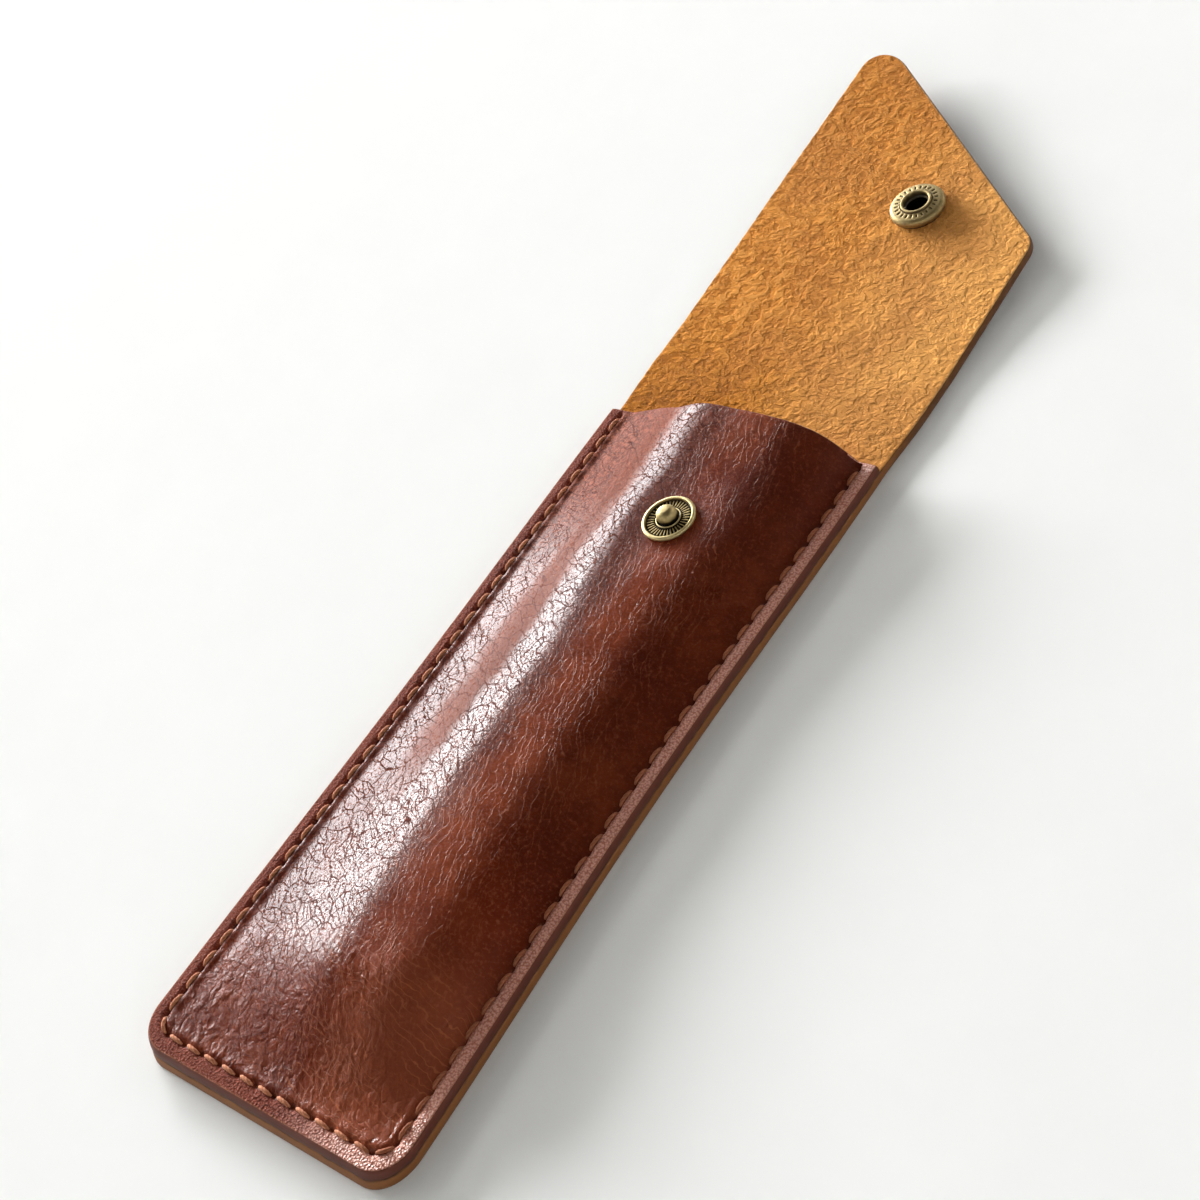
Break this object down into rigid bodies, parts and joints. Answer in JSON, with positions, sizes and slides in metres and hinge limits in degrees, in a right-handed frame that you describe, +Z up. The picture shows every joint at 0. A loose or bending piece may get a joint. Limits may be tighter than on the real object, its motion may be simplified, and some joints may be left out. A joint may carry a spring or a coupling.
{
  "type": "pen pouch",
  "caption": "Slim waxed-leather pen pouch: a formed front sewn to a flat back sheet, with a long slanted flap that folds over and closes with a press snap.",
  "frame": {"origin": "middle of the footprint, on the table the pouch lies on", "axes": "+X across the pouch, +Y from the closed end towards the tip of the open flap, +Z up, away from the back sheet"},
  "size_m": [0.0614, 0.2466, 0.0121],
  "materials": {
    "waxed_leather": "glossy waxed reddish brown, finely creased",
    "suede_side_leather": "tan suede nap inside, waxed brown outside",
    "sewing_thread": "tan twisted thread",
    "antique_brass": "antiqued, darkened in the recesses",
    "spring_steel": "dark bare wire"
  },
  "bodies": {
    "pouch": {"back_panel": "suede_side_leather", "front_panel": "waxed_leather", "seam_thread_front": "sewing_thread", "seam_thread_back": "sewing_thread", "snap_stud": "antique_brass", "stud_rivet": "antique_brass"},
    "fold_1": {"fold_strip_1": "suede_side_leather"},
    "fold_2": {"fold_strip_2": "suede_side_leather"},
    "fold_3": {"fold_strip_3": "suede_side_leather"},
    "flap": {"flap_panel": "suede_side_leather", "snap_socket": "antique_brass", "socket_spring": "spring_steel", "snap_cap": "antique_brass"}
  },
  "joints": [
    {"name": "flap_fold_1", "type": "hinge", "parent": "pouch", "child": "fold_1", "pos_m": [0, 0.03236, 0.0017], "axis": [1, 0, 0], "range_deg": [0, 44.28]},
    {"name": "flap_fold_2", "type": "hinge", "parent": "fold_1", "child": "fold_2", "pos_m": [0, 0.03676, 0.0017], "axis": [1, 0, 0], "range_deg": [0, 44.28]},
    {"name": "flap_fold_3", "type": "hinge", "parent": "fold_2", "child": "fold_3", "pos_m": [0, 0.04115, 0.0017], "axis": [1, 0, 0], "range_deg": [0, 44.28]},
    {"name": "flap_fold_4", "type": "hinge", "parent": "fold_3", "child": "flap", "pos_m": [0, 0.04555, 0.0017], "axis": [1, 0, 0], "range_deg": [0, 44.28]}
  ],
  "couplings": [
    {"joint": "flap_fold_2", "follows": "flap_fold_1", "ratio": 1},
    {"joint": "flap_fold_3", "follows": "flap_fold_1", "ratio": 1},
    {"joint": "flap_fold_4", "follows": "flap_fold_1", "ratio": 1}
  ]
}
